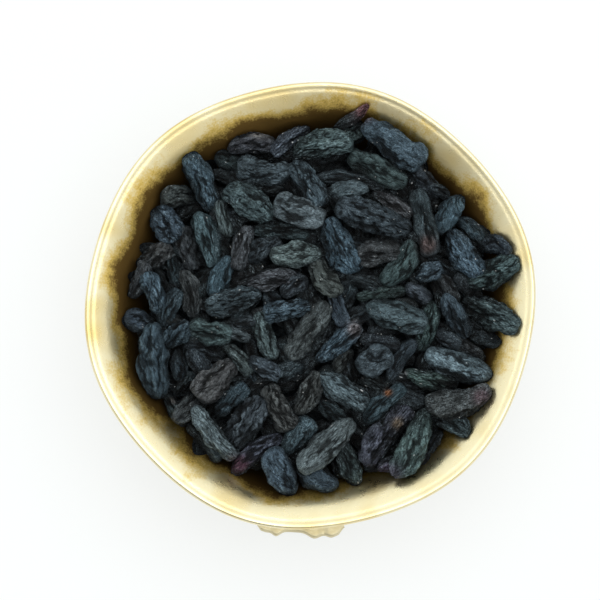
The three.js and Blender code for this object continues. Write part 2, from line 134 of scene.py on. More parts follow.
TOP_RAISINS = [
    (-46.5, 26, -60, 12.5, 9.5, "blue"), (-35.5, 40, -65, 19, 9, "blue"), (-14.5, 42, -5, 18, 9.5, "grey"),
    (4, 50.5, 5, 19, 9.5, "green"), (27.5, 52.5, -36, 23, 11, "blue"),
    (21.5, 42.5, -28, 20.5, 10.5, "green"), (44.5, 28.5, 58, 14.5, 8, "blue"),
    (-27.5, 27, -75, 12.5, 5.5, "light"), (-33, 20.5, -73, 18.5, 8.3, "blue"),
    (-19.5, 32, -30, 18, 11, "green"), (-1, 38, -58, 17.5, 9, "grey"), (-3.5, 28.8, -20, 17, 10, "light"),
    (20, 27, -22, 25, 10.5, "dark"), (36.3, 25.5, -78, 22, 8, "dark"), (57, 8.8, 22, 17.5, 9.7, "green"),
    (48.3, 15, -58, 17.5, 9.7, "blue"), (-44.4, -1.3, 65, 13, 6.8, "blue"),
    (-49.5, 3.3, -73, 13.5, 7.3, "blue"), (-27.9, 8.3, 68, 14.3, 7.2, "blue"),
    (-49.6, -18.5, -85, 24, 10.5, "blue"), (-4.5, 15.1, 0, 16.5, 8.5, "light"),
    (-24.3, 0.8, 18, 18, 8.5, "dark"), (4.8, 7.3, -57, 13, 8.8, "brown"),
    (9.3, 17.8, -64, 19.5, 10, "blue"), (28.5, 12, 55, 17, 8.5, "green"),
    (-31.5, -9.2, -13, 14, 8.7, "grey"), (-14, -10.3, -74, 16, 6.8, "grey"),
    (-7.2, -2.4, 12, 15, 7.7, "blue"), (-0.5, -9, 55, 21.7, 8.3, "brown"),
    (45.8, -4.2, -62, 15.3, 8.7, "blue"), (27, -4.2, -18, 20, 9.7, "green"),
    (57.4, -4, -29, 18.5, 9.5, "green"), (20, -18.5, 20, 12, 9.5, "grey"),
    (46.3, -19.8, -22, 22, 9, "light"), (-29.7, -24.5, 42, 16, 10, "brown"),
    (-19.8, -37.5, 55, 18, 10.5, "dark"), (-30.2, -41, -50, 21, 7.2, "light"),
    (-9.3, -53.5, -62, 16, 9.5, "blue"), (-9.8, -33, -62, 16, 9, "brown"),
    (10.5, -27.5, -33, 18, 9, "grey"), (5.2, -45, 43, 23, 9, "light"), (23.5, -41.5, 50, 23, 9.5, "purple"),
    (32.3, -44, 62, 24, 9.5, "green"),
]


def linear(red, green, blue):
    """A colour given as 0 to 255 screen values, as linear values."""
    def one(value):
        value /= 255
        return value / 12.92 if value <= 0.04045 else ((value + 0.055) / 1.055) ** 2.4
    return (one(red), one(green), one(blue))


def smoothstep(x, start, end):
    """0 before the start and 1 after the end, with a smooth rise between them, for whole arrays."""
    t = np.clip((x - start) / (end - start), 0, 1)
    return t * t * (3 - 2 * t)


# Bowl wall


def side_wave(radius, angle):
    """How much further out than a plain round bowl the wall stands."""
    panel = 2 * math.pi / SIDES
    from_crease = angle - FIRST_CREASE
    from_middle = np.mod(from_crease, panel) - panel / 2
    flat = 2 * (1 / np.cos(from_middle) - 1) / (1 / math.cos(panel / 2) - 1) - 1
    soft = np.cos(SIDES * from_crease)
    near_rim = smoothstep(radius, BELLY_RADIUS, RIM_RADIUS)
    height = smoothstep(radius, FLAT_BOTTOM, BELLY_RADIUS) * (BELLY_WAVE + (RIM_WAVE - BELLY_WAVE) * near_rim)
    return 1 + height * (flat + (soft - flat) * near_rim)


def wall_height(x, y):
    """Height of the inner wall over the table."""
    seen = np.hypot(x, y)
    radius = seen / side_wave(seen, np.arctan2(y, x))
    radii = np.array([row[0] for row in INNER_WALL], float)
    depths = np.array([row[1] for row in INNER_WALL], float)
    last = (depths[-1] - depths[-2]) / (radii[-1] - radii[-2])
    depth = np.interp(radius, radii, depths)
    return RIM_HEIGHT - np.where(radius > radii[-1], depths[-1] + last * (radius - radii[-1]), depth)


def spline(points, steps):
    """A smooth line through the points, with that many steps between each two of them."""
    points = [Vector(point) for point in points]
    line = []
    for i in range(len(points) - 1):
        p0, p1, p2, p3 = points[max(i - 1, 0)], points[i], points[i + 1], points[min(i + 2, len(points) - 1)]
        v0, v1 = (p2 - p0) / 2, (p3 - p1) / 2
        cubic = 2 * p1 - 2 * p2 + v0 + v1
        square = 3 * p2 - 3 * p1 - 2 * v0 - v1
        for k in range(steps):
            t = k / steps
            line.append(cubic * t ** 3 + square * t ** 2 + v0 * t + p1)
    line.append(points[-1])
    return line


# Pile of raisins, laid by the same rule as the part's solids

REACH = RIM_RADIUS
cells = np.arange(-REACH, REACH + 1)
cell_x, cell_y = np.meshgrid(cells, cells)


def heap_surface(x, y):
    """Height of the top of the heap, a low dome that leans a little."""
    crown = HEAP_CROWN * (1 - (x * x + y * y) / (HEAP_RADIUS * HEAP_RADIUS))
    return RIM_HEIGHT + HEAP_LEVEL + crown + HEAP_LEAN * x


wall_map = wall_height(cell_x, cell_y)
pile_map = np.maximum(wall_map, heap_surface(cell_x, cell_y) - CORE_DEPTH)
draw_seed = 20417
DRAW_FACTOR = 1664525
DRAW_STEP = 1013904223
DRAW_RANGE = 2 ** 32


def draw(start, end):
    """The next of a fixed row of random numbers, the same row that the solids use."""
    global draw_seed
    draw_seed = (draw_seed * DRAW_FACTOR + DRAW_STEP) % DRAW_RANGE
    return start + (end - start) * draw_seed / DRAW_RANGE


def nearest(value):
    """The nearest whole number, with halves going up."""
    return math.floor(value + 0.5)


def mean_height(x, y):
    """Mean height of the pile in a small square round a point."""
    near = np.arange(-MEAN_REACH, MEAN_REACH + 1)
    columns = np.clip(near + nearest(x), -REACH, REACH) + REACH
    rows = np.clip(near + nearest(y), -REACH, REACH) + REACH
    return pile_map[np.ix_(rows, columns)].mean()


def slope_along(x, y, angle, half):
    """Slope of the pile under a raisin in one direction."""
    dx, dy = math.cos(angle) * half, math.sin(angle) * half
    rise = mean_height(x + dx, y + dy) - mean_height(x - dx, y - dy)
    return min(max(math.atan(rise / (2 * half)), -STEEPEST), STEEPEST)


def footprint(x, y, axes, halves):
    """The cells under an ellipsoid, with the height of its bottom and top from its centre."""
    q = sum(np.outer(axis, axis) / half ** 2 for axis, half in zip(axes, halves))
    span = math.ceil(max(halves))
    columns = np.arange(max(nearest(x) - span, -REACH), min(nearest(x) + span, REACH) + 1)
    rows = np.arange(max(nearest(y) - span, -REACH), min(nearest(y) + span, REACH) + 1)
    dx, dy = np.meshgrid(columns - x, rows - y)
    b = q[0, 2] * dx + q[1, 2] * dy
    c = q[0, 0] * dx * dx + 2 * q[0, 1] * dx * dy + q[1, 1] * dy * dy - 1
    root = b * b - q[2, 2] * c
    row, column = np.nonzero(root >= 0)
    b, root = b[row, column], np.sqrt(root[row, column])
    return rows[row] + REACH, columns[column] + REACH, (-b - root) / q[2, 2], (-b + root) / q[2, 2]


def lay(x, y, heading, length, width):
    """Lays one raisin on what is in the bowl already, and gives its place, axes, half sizes and taper."""
    y += HEAP_SHIFT
    heading = math.radians(heading)
    pitch = slope_along(x, y, heading, PITCH_REACH * length)
    roll = slope_along(x, y, heading + math.pi / 2, ROLL_REACH * width)
    thickness = FLATNESS * width * draw(*THICKNESS_RANGE)
    halves = (length / 2 / math.cos(pitch), width / 2, thickness / 2)
    along = Vector((math.cos(heading), math.sin(heading), math.tan(pitch))).normalized()
    level = Vector((-math.sin(heading), math.cos(heading), 0))
    wide = level * math.cos(roll) + along.cross(level) * math.sin(roll)
    axes = (along, wide, along.cross(wide))
    inward = SLIDE_STEP / math.hypot(x, y)
    for step in range(SLIDE_STEPS + 1):
        rows, columns, bottom, top = footprint(x, y, axes, halves)
        rests = np.sort(pile_map[rows, columns] - bottom)
        clear = max(0, (wall_map[rows, columns] + GAP - bottom).max())
        z = max(clear, rests[int(len(rests) * SETTLED)]) - PRESS * halves[2]
        if rests[int(len(rests) * HELD)] >= clear or step == SLIDE_STEPS:
            break
        x -= inward * x
        y -= inward * y
    rows, columns, bottom, top = footprint(x, y, axes, halves)
    pile_map[rows, columns] = np.maximum(pile_map[rows, columns], z + top)
    return Vector((x, y, z)), axes, halves, draw(*TAPER_RANGE)


# Raisin shapes

TONES = {
    "blue": (72, 92, 104), "green": (74, 93, 95), "grey": (82, 98, 105), "light": (100, 117, 121),
    "brown": (87, 93, 96), "dark": (66, 79, 86), "purple": (82, 88, 101),
}
# Painted shade in the gaps: skin deep in the heap is darker: heights over the mean top of the heap, the lowest
# shade, reach of the mean.
DEEP = (-3, 1.6)
DEEP_SHADE = 0.03
DEEP_SPREAD = 6
# Painted shade: the sides of a raisin are painted darker than its top: heights over its middle, and the lowest
# shade.
FLANK = (-0.2, 0.85)
FLANK_SHADE = 0.45
# Lumps and ripples of the girth, as shares of it.
LUMP = 0.24
RIPPLE = 0.1
# Dents and slits: their length and spread, and how far the rims of a slit stand up.
DENT_LENGTH = 0.38
DENT_SPREAD = 0.3
SLIT_LENGTH = 0.6
SLIT_RIM = 0.3
# Depth of the broad creases, the folds and the small folds in millimetres.
CREASE = 0.95
FOLD = 0.36
SMALL_FOLD = 0.14
# A crease never cuts a raisin through: the least share of its girth that stays.
SHORTEST_GIRTH = 0.02

SHAPE_SEED = 58
shape = random.Random(SHAPE_SEED)
noise.seed_set(SHAPE_SEED)
spheres = {}


def sphere(bm, around, along):
    """Adds a sphere with its poles on the X axis and gives its vertices."""
    if (around, along) not in spheres:
        made = bmesh.new()
        turn = Matrix.Rotation(math.pi / 2, 4, "Y")
        bmesh.ops.create_uvsphere(made, u_segments=around, v_segments=along, radius=1, matrix=turn)
        spheres[around, along] = bpy.data.meshes.new("sphere")
        made.to_mesh(spheres[around, along])
        made.free()
    first = len(bm.verts)
    bm.from_mesh(spheres[around, along])
    bm.verts.ensure_lookup_table()
    return bm.verts[first:]


def billow(point):
    """1 on rounded ridges and 0 in the sharp valleys between them."""
    return min(abs(noise.noise(point)) / 0.42, 1)


class Form:
    """What makes one raisin different from the next."""

    def __init__(self):
        self.place = Vector([shape.uniform(-500, 500) for _ in range(3)])
        self.ends = (shape.uniform(0.45, 0.85), shape.uniform(0.45, 0.85))
        self.bend = shape.uniform(-0.14, 0.14)
        self.arch = shape.uniform(-0.1, 0.05)
        self.twist = shape.uniform(-0.4, 0.4)
        self.ribs = shape.choice((2, 3, 3, 4, 5))
        self.rib_turn = shape.uniform(0, 2 * math.pi)
        self.rib_depth = shape.uniform(0.04, 0.12)
        self.fine = shape.uniform(4.6, 7)
        self.stretch = shape.choice((0.14, 0.2, 0.28, 0.45))
        self.slant = shape.uniform(-0.9, 0.9)
        self.folds = shape.choice((0.25, 0.5, 0.9, 1.2))
        self.depth = shape.uniform(0.9, 1.5)
        self.weave = shape.choice((0.8, 1, 1.3, 1.7))
        self.run = shape.choice((0.5, 0.8, 1, 1.5))
        self.dents = [
            (shape.uniform(-0.8, 0.8), shape.uniform(0.1, 1.05) * math.pi, shape.uniform(0.08, 0.34))
            for _ in range(3)
        ]
        self.slits = [
            (shape.uniform(0.2, 0.8) * math.pi, shape.uniform(-0.5, 0.5), shape.uniform(-0.35, 0.35),
             shape.uniform(0.07, 0.13), shape.uniform(0.1, 0.26))
            for _ in range(shape.choice((1, 2, 2, 3)))
        ]


def wrinkle(point, form, halves, taper):
    """A point of the unit sphere as a point of the raisin in millimetres, its fold height and skin place."""
    u = point.x
    q = math.hypot(point.y, point.z)
    angle = math.atan2(point.z, point.y)
    length, width, thickness = halves
    sway = form.place + Vector((u * length * 0.22, math.cos(angle) * 0.8, math.sin(angle) * 0.8))
    lump = noise.noise(sway)
    wander = noise.noise(sway * 1.7 + Vector((40, 0, 0)))
    turned = angle + form.twist * u
    folded = angle + 0.6 * wander + form.slant * 0.5 * u
    skin = Vector((form.fine * math.cos(folded), form.fine * math.sin(folded), form.stretch * u * length))
    shift = noise.noise_vector(form.place + Vector((0.3 * u * length, 1.6 * point.y, 1.6 * point.z))) * 0.9
    broad = billow(form.place + skin * 0.42 + shift * 0.5)
    fold = billow(form.place + skin + shift + Vector((90, 0, 0)))
    small = billow(form.place + skin * 1.6 + shift + Vector((0, 70, 0)))
    calm = 0.55 + 0.45 * min(max(0.5 + 1.6 * noise.noise(sway * 1.3 + Vector((0, 55, 0))), 0), 1)
    blunt = form.ends[0] + (form.ends[1] - form.ends[0]) * (u + 1) / 2
    girth = max(q, 1e-4) ** blunt * (1 + taper * u)
    rib = math.cos(form.ribs * turned + form.rib_turn + 1.4 * lump)
    ripple = noise.noise(sway * 2.3 + Vector((0, 0, 60)))
    girth *= 1 + LUMP * lump + RIPPLE * ripple + form.rib_depth * rib
    slit = 0
    for middle, around, depth in form.dents:
        away = ((u - middle) / DENT_LENGTH) ** 2 + (math.sin((turned - around) / 2) / DENT_SPREAD) ** 2
        girth *= 1 - depth * math.exp(-away)
    for around, lean, middle, spread, depth in form.slits:
        away = (math.sin((turned - around - lean * u - 0.5 * wander) / 2) / spread) ** 2
        reach = math.exp(-((u - middle) / SLIT_LENGTH) ** 4)
        girth *= 1 - depth * reach * (math.exp(-away) - SLIT_RIM * math.exp(-away / 7))
        slit = max(slit, reach * math.exp(-away))
    fade = min(q * 1.6, 1)
    scale = math.sqrt(width / 4.2) * form.depth
    creases = form.folds * CREASE * (1 - broad) ** 3
    down = scale * fade * (creases + calm * (FOLD * (1 - fold) ** 1.4 + SMALL_FOLD * (1 - small)))
    radial = max(girth - down / max(width, 1), SHORTEST_GIRTH if q > 1e-3 else 0)
    y = math.cos(turned) * radial * width + form.bend * length * (u * u - 0.4)
    z = math.sin(turned) * radial * thickness + form.arch * length * (u * u - 0.4)
    x = u * length * (1 + 0.05 * lump)
    # This fold height later paints shade into the valleys and the slits.
    height = 0.3 * (1 - form.folds * (1 - broad) ** 3) + 0.42 * fold + 0.28 * small
    height *= 1 - 0.7 * slit
    weave = 1.6 * form.weave
    return Vector((x, y, z)), height, Vector((y * weave, z * weave, u * length * form.run)) + form.place


def raisin_piece(name, laid, detail, shade, material):
    """Joins wrinkled raisins into one piece."""
    bm = bmesh.new()
    folds, skins, tints, rises = [], [], [], []
    for (centre, axes, halves, taper), tone in laid:
        form = Form()
        # The layer's painted shade darkens the lower layers and lightens the top one.
        tint = [value * shade * shape.uniform(0.94, 1.08) for value in linear(*TONES[tone])]
        for vert in sphere(bm, *detail):
            local, height, skin = wrinkle(vert.co, form, halves, taper)
            place = centre + axes[0] * local.x + axes[1] * local.y + axes[2] * local.z
            vert.co = place
            folds.append(height)
            skins.append(skin)
            tints.append(tint)
            rises.append((place.z - centre.z) / halves[2])
    places = np.array([vert.co for vert in bm.verts])
    tints = np.array(tints)
    # Marks, of which the first two are painted highlights.
    for x, y, radius, colour, strength in MARKS:
        near = np.exp(-((places[:, 0] - x) ** 2 + (places[:, 1] - y - HEAP_SHIFT) ** 2) / radius ** 2)
        share = np.clip(near * 1.6, 0, 1)[:, None] * strength
        tints = tints * (1 - share) + np.array(linear(*colour)) * share
    rows = np.clip(np.rint(places[:, 1]).astype(int), -REACH, REACH) + REACH
    columns = np.clip(np.rint(places[:, 0]).astype(int), -REACH, REACH) + REACH
    # Painted shade: skin low in the heap, between the raisins, is darkened.
    open_above = smoothstep(places[:, 2] - heap_mean[rows, columns], *DEEP)
    tints = tints * (DEEP_SHADE + (1 - DEEP_SHADE) * open_above)[:, None]
    # Painted shade: the sides of each raisin are darkened and its top is left lit.
    tints = tints * (FLANK_SHADE + (1 - FLANK_SHADE) * smoothstep(np.array(rises), *FLANK))[:, None]
    seated = np.maximum(places[:, 2], wall_height(places[:, 0], places[:, 1]) + 1.4 * GAP)
    seated = np.minimum(seated, HEAP_TOP - 0.05)
    for vert, z in zip(bm.verts, seated):
        vert.co.z = z
        vert.co = (vert.co + AXIS) * MM
    piece = finish_piece(name, bm, "raisins", material)
    mesh = piece.data
    mesh.attributes.new("fold", "FLOAT", "POINT").data.foreach_set("value", np.array(folds, np.float32))
    skin_data = mesh.attributes.new("skin", "FLOAT_VECTOR", "POINT").data
    skin_data.foreach_set("vector", np.array([tuple(skin) for skin in skins], np.float32).ravel())
    tint_data = mesh.attributes.new("tint", "FLOAT_COLOR", "POINT").data
    tint_data.foreach_set("color", np.hstack([tints, np.ones((len(tints), 1))]).astype(np.float32).ravel())
    return piece


def finish_piece(name, bm, node, material):
    """Turns the mesh into a smooth piece that rides on the part in place of its node."""
    bmesh.ops.recalc_face_normals(bm, faces=bm.faces)
    mesh = bpy.data.meshes.new(name)
    bm.to_mesh(mesh)
    bm.free()
    mesh.shade_smooth()
    mesh.materials.append(material)
    piece = bpy.data.objects.new(name, mesh)
    bpy.context.scene.collection.objects.link(piece)
    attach(piece, "root")
    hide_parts(node)
    return piece


# Marks on single raisins: x, y, radius, colour, strength.
MARKS = [
    # The first two marks are painted highlights on one raisin.
    (-16.5, 55.5, 2.2, (190, 188, 184), 0.75),
    (-12.8, 54.3, 1.2, (170, 165, 160), 0.6),
    (17.2, 61, 3, (128, 84, 88), 0.8),
    (27.3, -38.2, 1.6, (172, 150, 122), 0.8),
    (24.2, -28.4, 0.9, (178, 112, 60), 0.9),
    (29.2, -22.4, 0.8, (190, 196, 200), 0.9),
    (13.9, -8.6, 2.2, (118, 108, 108), 0.7),
    (-22.6, -51.5, 3.2, (110, 62, 82), 0.7),
    (24.5, -54, 3.5, (88, 66, 96), 0.55),
    (36.8, 18, 2.6, (108, 82, 76), 0.7),
    (53, -30, 2.4, (104, 72, 82), 0.5),
    (-43, -30.5, 1.2, (150, 132, 122), 0.5),
]


# Materials

# Raisin skin: how far creases run on along the raisin, their bump and that of the grain in metres, and colours:
# the bloom, partly painted sheen, and the specks, painted glints.
CREASE_RUN = 0.24
CREASE_BUMP = 0.0005
GRAIN_BUMP = 0.0004
BLOOM_AND_SHEEN_COLOUR = (156, 174, 182)
GLINT_SPECK_COLOUR = (205, 208, 208)
SKIN_SHINE = 0.14
# Brass: scales of the clouds and smudges, and how far clouds, smudges and dust shift the band of tarnish and
# painted reflection, in metres.
CLOUD_SCALE = 48
SMUDGE_SCALE = 420
CLOUD_SHIFT = 0.01
SMUDGE_SHIFT = 0.002
DUST_SHIFT = 0.002
# The band of tarnish and painted reflection stands higher at the back, where it paints the darker reflection:
# metres per metre.
BAND_LEAN = (0.004, -0.042, 0)


def node_group(name, inputs, outputs):
    """A node group with its sockets, as the group, its input and its output."""
    group = bpy.data.node_groups.new(name, "ShaderNodeTree")
    for label, kind in inputs:
        group.interface.new_socket(name=label, in_out="INPUT", socket_type=kind)
    for label, kind in outputs:
        group.interface.new_socket(name=label, in_out="OUTPUT", socket_type=kind)
    return group, group.nodes.new("NodeGroupInput"), group.nodes.new("NodeGroupOutput")


def new_material(name):
    """A material, its node tree and its shader."""
    material = bpy.data.materials.new(name)
    material.use_nodes = True
    return material, material.node_tree, material.node_tree.nodes["Principled BSDF"]


def put(tree, kind, inputs=None, **settings):
    """Adds a node, sets its properties, and links or sets its inputs."""
    made = tree.nodes.new(kind)
    for key, value in settings.items():
        setattr(made, key, value)
    for key, value in (inputs or {}).items():
        socket = made.inputs[key]
        if isinstance(value, bpy.types.NodeSocket):
            tree.links.new(value, socket)
        else:
            socket.default_value = value
    return made


def mix_colours(tree, factor, first, second):
    """Mixes two colours and gives the result."""
    made = tree.nodes.new("ShaderNodeMix")
    made.data_type = "RGBA"
    for index, value in ((0, factor), (6, first), (7, second)):
        if isinstance(value, bpy.types.NodeSocket):
            tree.links.new(value, made.inputs[index])
        else:
            made.inputs[index].default_value = value
    return made.outputs[2]


def map_range(tree, value, from_min, from_max, to_min, to_max):
    """Maps a value from one range to another and stops at the ends."""
    inputs = {"Value": value, "From Min": from_min, "From Max": from_max, "To Min": to_min, "To Max": to_max}
    return put(tree, "ShaderNodeMapRange", inputs).outputs["Result"]


def raisin_material():
    """Dark skin: pale coating on the ridges that is partly painted sheen, painted shade that makes the creases
    black, and a few pale specks painted as glints.
    """
    material, tree, shader = new_material("raisin_skin")
    tint = put(tree, "ShaderNodeAttribute", attribute_name="tint").outputs["Color"]
    fold = put(tree, "ShaderNodeAttribute", attribute_name="fold").outputs["Fac"]
    skin = put(tree, "ShaderNodeAttribute", attribute_name="skin").outputs["Vector"]
    drawn = put(tree, "ShaderNodeVectorMath", {0: skin, 1: (1, 1, CREASE_RUN)}, operation="MULTIPLY").outputs[0]
    creases = put(tree, "ShaderNodeTexNoise", {
        "Vector": drawn, "Scale": 1.3, "Detail": 2, "Distortion": 0.6,
    }).outputs["Fac"]
    creases = put(tree, "ShaderNodeMath", {0: creases, 1: 0.5}, operation="SUBTRACT").outputs[0]
    creases = put(tree, "ShaderNodeMath", {0: creases}, operation="ABSOLUTE").outputs[0]
    creases = map_range(tree, creases, 0.0, 0.08, 0.0, 1.0)
    grain = put(tree, "ShaderNodeTexNoise", {"Vector": skin, "Scale": 2.2, "Detail": 2}).outputs["Fac"]
    patches = put(tree, "ShaderNodeTexNoise", {"Vector": skin, "Scale": 0.22, "Detail": 2}).outputs["Fac"]
    height = map_range(tree, fold, 0.3, 0.62, 0.08, 1.0)
    thin = map_range(tree, creases, 0, 0.5, 0.12, 1.0)
    height = put(tree, "ShaderNodeMath", {0: height, 1: thin}, operation="MULTIPLY").outputs[0]
    uneven = map_range(tree, patches, 0.35, 0.65, 0.65, 1.35)
    grainy = map_range(tree, grain, 0.35, 0.65, 0.7, 1.3)
    uneven = put(tree, "ShaderNodeMath", {0: uneven, 1: grainy}, operation="MULTIPLY").outputs[0]
    tint = put(tree, "ShaderNodeVectorMath", {0: tint, "Scale": uneven}, operation="SCALE").outputs[0]
    # Painted shade: the creases and slits are darkened to near black.
    dark = put(tree, "ShaderNodeVectorMath", {0: tint, "Scale": 0.05}, operation="SCALE").outputs[0]
    ridge = mix_colours(tree, height, dark, tint)
    # Pale bloom on the ridges, partly real bloom and partly painted sheen.
    speckle = map_range(tree, grain, 0.5, 0.68, 0.0, 1.0)
    bloom_and_sheen = put(tree, "ShaderNodeMath", {0: speckle, 1: height}, operation="MULTIPLY").outputs[0]
    cover = map_range(tree, patches, 0.35, 0.7, 0.05, 0.45)
    bloom_and_sheen = put(tree, "ShaderNodeMath", {0: bloom_and_sheen, 1: cover}, operation="MULTIPLY").outputs[0]
    colour = mix_colours(tree, bloom_and_sheen, ridge, (*linear(*BLOOM_AND_SHEEN_COLOUR), 1))
    # Painted glints: a few pale specks.
    speck = put(tree, "ShaderNodeTexVoronoi", {"Vector": skin, "Scale": 0.55})
    chosen = put(tree, "ShaderNodeSeparateColor", {"Color": speck.outputs["Color"]}).outputs["Red"]
    chosen = map_range(tree, chosen, 0.95, 0.96, 0.0, 0.8)
    painted_glint = map_range(tree, speck.outputs["Distance"], 0.12, 0.2, 1.0, 0.0)
    painted_glint = put(tree, "ShaderNodeMath", {0: painted_glint, 1: chosen}, operation="MULTIPLY").outputs[0]
    colour = mix_colours(tree, painted_glint, colour, (*linear(*GLINT_SPECK_COLOUR), 1))
    tree.links.new(colour, shader.inputs["Base Color"])
    tree.links.new(map_range(tree, grain, 0.3, 0.7, 0.5, 0.75), shader.inputs["Roughness"])
    shader.inputs["Specular IOR Level"].default_value = SKIN_SHINE
    bumped = put(tree, "ShaderNodeBump", {"Height": creases, "Distance": CREASE_BUMP, "Strength": 0.9})
    fine = put(tree, "ShaderNodeBump", {
        "Height": grain, "Distance": GRAIN_BUMP, "Strength": 0.9, "Normal": bumped.outputs[0],
    })
    tree.links.new(fine.outputs[0], shader.inputs["Normal"])
    return material


def brass_patina_and_reflection():
    """Fine grain, soft stains and a band that is partly tarnish and partly painted reflection of the heap, shared
    by the sheet and the cast brass.
    """
    group, start, end = node_group("brass_patina_and_reflection", [
        ("Grain", "NodeSocketFloat"), ("Bottom", "NodeSocketFloat"), ("Top", "NodeSocketFloat"),
        ("Cover", "NodeSocketFloat"),
    ], [("StainAndReflection", "NodeSocketFloat"), ("Roughness", "NodeSocketFloat"), ("Height", "NodeSocketFloat")])
    spot = put(group, "ShaderNodeTexCoord").outputs["Object"]
    grain = put(group, "ShaderNodeTexNoise", {"Vector": spot, "Scale": start.outputs[0], "Detail": 3})
    cloud = put(group, "ShaderNodeTexNoise", {"Vector": spot, "Scale": CLOUD_SCALE, "Detail": 2})
    smudge = put(group, "ShaderNodeTexNoise", {"Vector": spot, "Scale": SMUDGE_SCALE, "Detail": 4})
    lift = map_range(group, cloud.outputs["Fac"], 0, 1, -CLOUD_SHIFT, CLOUD_SHIFT)
    blot = map_range(group, smudge.outputs["Fac"], 0, 1, -SMUDGE_SHIFT, SMUDGE_SHIFT)
    dust = map_range(group, grain.outputs["Fac"], 0, 1, -DUST_SHIFT, DUST_SHIFT)
    lean = put(group, "ShaderNodeVectorMath", {0: spot, 1: BAND_LEAN}, operation="DOT_PRODUCT")
    height = put(group, "ShaderNodeSeparateXYZ", {"Vector": spot}).outputs["Z"]
    height = put(group, "ShaderNodeMath", {0: height, 1: lift}, operation="ADD").outputs[0]
    for wander in (blot, dust, lean.outputs["Value"]):
        height = put(group, "ShaderNodeMath", {0: height, 1: wander}, operation="ADD").outputs[0]
    # Partly tarnish and partly painted reflection: the band darkens the wall from near the heap down.
    low = map_range(group, height, start.outputs["Bottom"], start.outputs["Top"], 1, 0)
    low = put(group, "ShaderNodeMath", {0: low, 1: start.outputs["Cover"]}, operation="MULTIPLY").outputs[0]
    stain_and_reflection = map_range(group, cloud.outputs["Fac"], 0.48, 0.75, 0.0, 0.42)
    stain_and_reflection = put(group, "ShaderNodeMath", {0: stain_and_reflection, 1: low}, operation="MAXIMUM").outputs[0]
    rough = map_range(group, smudge.outputs["Fac"], 0.3, 0.7, 0.0, 0.4)
    rough = put(group, "ShaderNodeMath", {0: rough, 1: low}, operation="ADD").outputs[0]
    group.links.new(stain_and_reflection, end.inputs["StainAndReflection"])
    group.links.new(rough, end.inputs["Roughness"])
    group.links.new(grain.outputs["Fac"], end.inputs["Height"])
    return group


def brass_material(name, patina_and_reflection, colours, roughness, grain, bump, tarnish_and_reflection_band=(-0.02, -0.01)):
    """Brass from bright over golden to brown, browner and rougher from the top of the band down; the browning is
    partly tarnish and partly painted reflection of the heap.
    """
    material, tree, shader = new_material(name)
    tarnish_and_reflection = put(tree, "ShaderNodeGroup", {}, node_tree=patina_and_reflection)
    tarnish_and_reflection.inputs["Grain"].default_value = grain
    tarnish_and_reflection.inputs["Bottom"].default_value, tarnish_and_reflection.inputs["Top"].default_value = tarnish_and_reflection_band
    cover = put(tree, "ShaderNodeAttribute", attribute_name="cover").outputs["Fac"]
    tree.links.new(cover, tarnish_and_reflection.inputs["Cover"])
    bright, golden, brown = [(*colour, 1) for colour in colours]
    first = map_range(tree, tarnish_and_reflection.outputs["StainAndReflection"], 0, 0.5, 0, 1)
    second = map_range(tree, tarnish_and_reflection.outputs["StainAndReflection"], 0.5, 1, 0, 1)
    colour = mix_colours(tree, second, mix_colours(tree, first, bright, golden), brown)
    tree.links.new(colour, shader.inputs["Base Color"])
    shader.inputs["Metallic"].default_value = 1
    tree.links.new(map_range(tree, tarnish_and_reflection.outputs["Roughness"], 0, 1, *roughness), shader.inputs["Roughness"])
    bumped = put(tree, "ShaderNodeBump", {
        "Height": tarnish_and_reflection.outputs["Height"], "Distance": bump, "Strength": 0.7,
    })
    tree.links.new(bumped.outputs[0], shader.inputs["Normal"])
    return material


# Bowl

# The rim from the wall inside to the wall outside: radius, depth under the rim.
RIM = [
    (60.2, 7.8), (61.6, 5.95), (63.2, 4.2), (64.6, 3), (65.8, 2.15), (66.7, 1.6), (67.3, 1.34),
    (67.75, 1.13), (68.05, 0.94), (68.4, 0.73), (68.75, 0.58), (69.1, 0.5), (69.45, 0.66),
    (69.74, 0.98), (69.93, 1.4), (69.98, 1.8), (69.85, 2.2), (69.45, 2.6), (68.9, 2.95),
]
WALL_STEPS = 8
RIM_STEPS = 3
BOWL_COLUMNS = 264
# The wall's small unevenness in millimetres, wide and narrow, how deep the sheet lies under the solid,
# and how far under the rim the unevenness starts.
WIDE_WAVE = 0.42
NARROW_WAVE = 0.16
INSET = 0.06
CALM_BELOW_RIM = 1
# How much of the stain and of the band of tarnish and painted reflection the outside of the bowl takes.
OUTSIDE_COVER = 0.3


def wall_inside():
    """The inner wall from the middle of the bottom to the rim, as points of radius and height."""
    return spline([(radius, RIM_HEIGHT - depth, 0) for radius, depth in INNER_WALL], WALL_STEPS)


def wall_outside():
    """The outer wall from the middle of the bottom to the lip, as points of radius and height."""
    inside = wall_inside()
    outside = [Vector((0, inside[0].y - WALL, 0))]
    for before, point, after in zip(inside, inside[1:], inside[2:] + inside[-1:]):
        along = (after - before).normalized()
        outside.append(point + Vector((along.y, -along.x, 0)) * WALL)
    return outside


